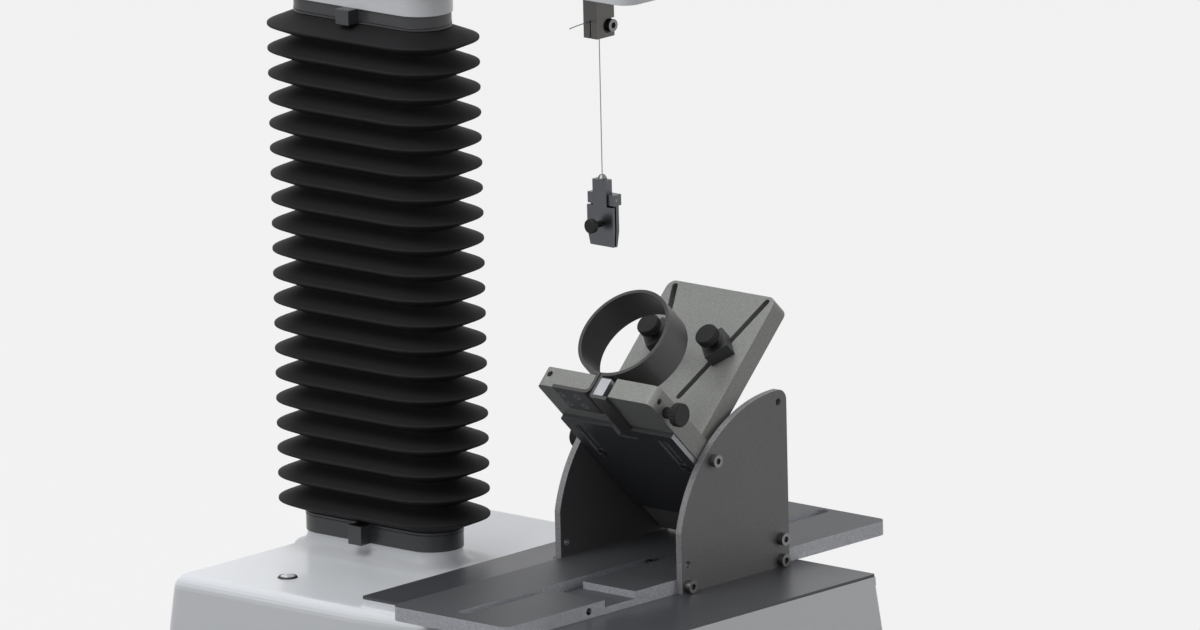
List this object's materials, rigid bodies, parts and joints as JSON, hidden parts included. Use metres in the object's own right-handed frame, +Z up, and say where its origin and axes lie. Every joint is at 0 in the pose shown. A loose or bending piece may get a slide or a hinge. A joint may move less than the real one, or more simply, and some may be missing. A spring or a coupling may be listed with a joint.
{
  "type": "peel test rig",
  "caption": "Bench peel test rig: a bellows-covered column carries an arm with a film clamp on a wire over a tilting fork block with a strap hoop and pegged back stop.",
  "frame": {"origin": "where the load line meets the top face of the stage", "axes": "+Z up along the load line and the column, +X across the machine to its right, +Y from the front towards the column"},
  "size_m": [0.3917, 0.4312, 0.7347],
  "materials": {
    "white_moulding": "smooth white moulding",
    "grey_sheet": "satin paint",
    "stage_black": "satin paint",
    "bare_alloy": "machined",
    "satin_alloy": "satin",
    "light_alloy": "bead blasted",
    "dark_anodised": "bead blasted and anodised",
    "side_anodised": "bead blasted and anodised",
    "grey_anodised": "bead blasted and anodised",
    "peg_anodised": "bead blasted and anodised",
    "strap_grey": "satin",
    "clamp_grey": "satin",
    "steel": "satin",
    "wire_steel": "drawn",
    "dark_screw": "oxide",
    "bronze": "machined",
    "motor_black": "satin",
    "bellows_black": "matt sheet",
    "band_grey": "satin",
    "black_knob": "satin",
    "black_plastic": "satin",
    "rubber": "matt",
    "vial": "clear"
  },
  "bodies": {
    "machine": {"base_casing": "white_moulding", "base_floor": "grey_sheet", "floor_screws": "steel", "feet": "rubber", "stage_plate": "stage_black", "stage_bed": "bare_alloy", "level_bezel": "black_plastic", "level_vial": "vial", "foot_band": "band_grey", "column_foot": "bare_alloy", "column_beam": "bare_alloy", "guide_rails": "steel", "screw_bearings": "steel", "drive_motor": "motor_black", "column_head": "bare_alloy", "top_cap": "white_moulding", "cap_band": "band_grey", "lower_bellows": "bellows_black", "upper_bellows": "bellows_black", "rear_sockets": "black_plastic", "hold_down_screws": "dark_screw"},
    "drive_screw": {"lead_screw": "steel", "shaft_coupling": "bare_alloy"},
    "crosshead": {"carriage": "bare_alloy", "rail_runners": "steel", "drive_nut": "bronze", "arm_casing": "white_moulding", "arm_lid": "white_moulding", "load_cell": "bare_alloy", "cell_screws": "dark_screw", "wire_adaptor": "satin_alloy", "adaptor_screw": "steel", "wire_tail": "wire_steel", "arm_bands": "band_grey"},
    "wire": {"hanging_wire": "wire_steel"},
    "film_clamp": {"clamp_front_jaw": "clamp_grey", "clamp_nipple": "steel", "clamp_pin": "steel"},
    "rear_jaw": {"clamp_rear_jaw": "clamp_grey"},
    "clamp_screw": {"clamp_knob": "black_knob"},
    "bench_plate": {"long_plate": "dark_anodised", "side_plate_near": "side_anodised", "side_plate_far": "side_anodised", "side_screws": "steel", "lock_screw": "steel"},
    "side_lock": {"lock_knob": "black_knob"},
    "tilt_fork": {"tilt_block": "grey_anodised", "pivot_screws": "steel", "block_screws": "steel", "strap": "strap_grey"},
    "back_stop": {"slide_plate": "dark_anodised", "upright": "grey_anodised"},
    "peg_left": {"left_peg": "peg_anodised"},
    "peg_right": {"right_peg": "peg_anodised"},
    "peg_knob_left": {"left_knob": "black_knob"},
    "peg_knob_right": {"right_knob": "black_knob"},
    "jaw_slide": {"strap_jaw": "light_alloy"},
    "jaw_turn": {"jaw_knob": "black_knob", "jaw_screw": "steel"}
  },
  "joints": [
    {"name": "crosshead_travel", "type": "slide", "parent": "machine", "child": "crosshead", "axis": [0, 0, 1], "range_m": [-0.036, 0.04], "deforming": ["lower_bellows", "upper_bellows"]},
    {"name": "lead_screw_turn", "type": "hinge", "parent": "machine", "child": "drive_screw", "pos_m": [0, 0.2, 0], "axis": [0, 0, 1], "range_deg": [-2900, 2900]},
    {"name": "plate_slide", "type": "slide", "parent": "machine", "child": "bench_plate", "axis": [1, 0, 0], "range_m": [-0.015, 0.06]},
    {"name": "block_tilt", "type": "hinge", "parent": "bench_plate", "child": "tilt_fork", "pos_m": [0.1068, 0, 0.0198], "axis": [0, 1, 0], "range_deg": [-45, 45]},
    {"name": "lock_knob_turn", "type": "hinge", "parent": "bench_plate", "child": "side_lock", "pos_m": [0.03892, 0, 0.08768], "axis": [0, 1, 0], "continuous": true},
    {"name": "depth_slide", "type": "slide", "parent": "tilt_fork", "child": "back_stop", "axis": [-0.7071, 0, 0.7071], "range_m": [-0.027, 0.0008]},
    {"name": "left_peg_slide", "type": "slide", "parent": "back_stop", "child": "peg_left", "axis": [0.6671, 0.3315, 0.6671], "range_m": [-0.038, 0.044]},
    {"name": "right_peg_slide", "type": "slide", "parent": "back_stop", "child": "peg_right", "axis": [0.6671, -0.3315, 0.6671], "range_m": [-0.038, 0.044]},
    {"name": "left_knob_turn", "type": "hinge", "parent": "peg_left", "child": "peg_knob_left", "pos_m": [0.07569, 0.02368, 0.15981], "axis": [-0.7071, 0, 0.7071], "continuous": true},
    {"name": "right_knob_turn", "type": "hinge", "parent": "peg_right", "child": "peg_knob_right", "pos_m": [0.07569, -0.02968, 0.15981], "axis": [-0.7071, 0, 0.7071], "continuous": true},
    {"name": "jaw_knob_turn", "type": "hinge", "parent": "tilt_fork", "child": "jaw_turn", "pos_m": [-0.00139, 0, 0.12799], "axis": [0, 1, 0], "range_deg": [-2100, 0]},
    {"name": "strap_jaw_slide", "type": "slide", "parent": "tilt_fork", "child": "jaw_slide", "axis": [0, 1, 0], "range_m": [-0.004, 0]},
    {"name": "wire_swing", "type": "hinge", "parent": "crosshead", "child": "wire", "pos_m": [0, 0, 0.3848], "axis": [0, 1, 0], "range_deg": [-8, 8]},
    {"name": "clamp_twist", "type": "hinge", "parent": "wire", "child": "film_clamp", "pos_m": [0, 0, 0.2806], "axis": [0, 0, 1], "continuous": true},
    {"name": "clamp_knob_turn", "type": "hinge", "parent": "film_clamp", "child": "clamp_screw", "pos_m": [-0.01, 0, 0.2527], "axis": [1, 0, 0], "range_deg": [0, 870]},
    {"name": "film_jaw_open", "type": "hinge", "parent": "film_clamp", "child": "rear_jaw", "pos_m": [0.0005, 0, 0.2698], "axis": [0, -1, 0], "range_deg": [0, 4]}
  ],
  "couplings": [
    {"joint": "lead_screw_turn", "follows": "crosshead_travel", "rad_per_m": 1256.6},
    {"joint": "jaw_knob_turn", "follows": "strap_jaw_slide", "rad_per_m": 8975.9},
    {"joint": "clamp_knob_turn", "follows": "film_jaw_open", "ratio": 215.05}
  ]
}
